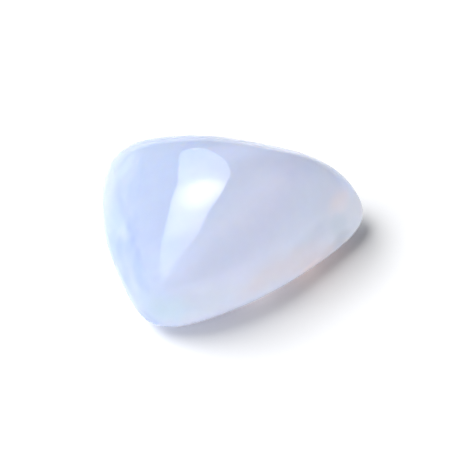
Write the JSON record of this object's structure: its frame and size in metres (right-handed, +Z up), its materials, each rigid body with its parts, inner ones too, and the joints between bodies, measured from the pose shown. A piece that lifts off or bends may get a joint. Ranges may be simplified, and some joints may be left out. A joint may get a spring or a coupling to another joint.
{
  "type": "polished blue chalcedony stone",
  "caption": "Tumbled and polished blue chalcedony pebble with a rounded triangular outline, a low roofed top and a flat seat.",
  "frame": {"origin": "middle of the bounding box at the seat that the stone rests on", "axes": "+X along the stone's longest side to side extent, +Z straight up from the seat, +Y away from the side that faces the viewer"},
  "size_m": [0.0298, 0.0276, 0.0125],
  "materials": {
    "chalcedony": "polished"
  },
  "bodies": {
    "root": {"chalcedony": "chalcedony"}
  },
  "joints": []
}
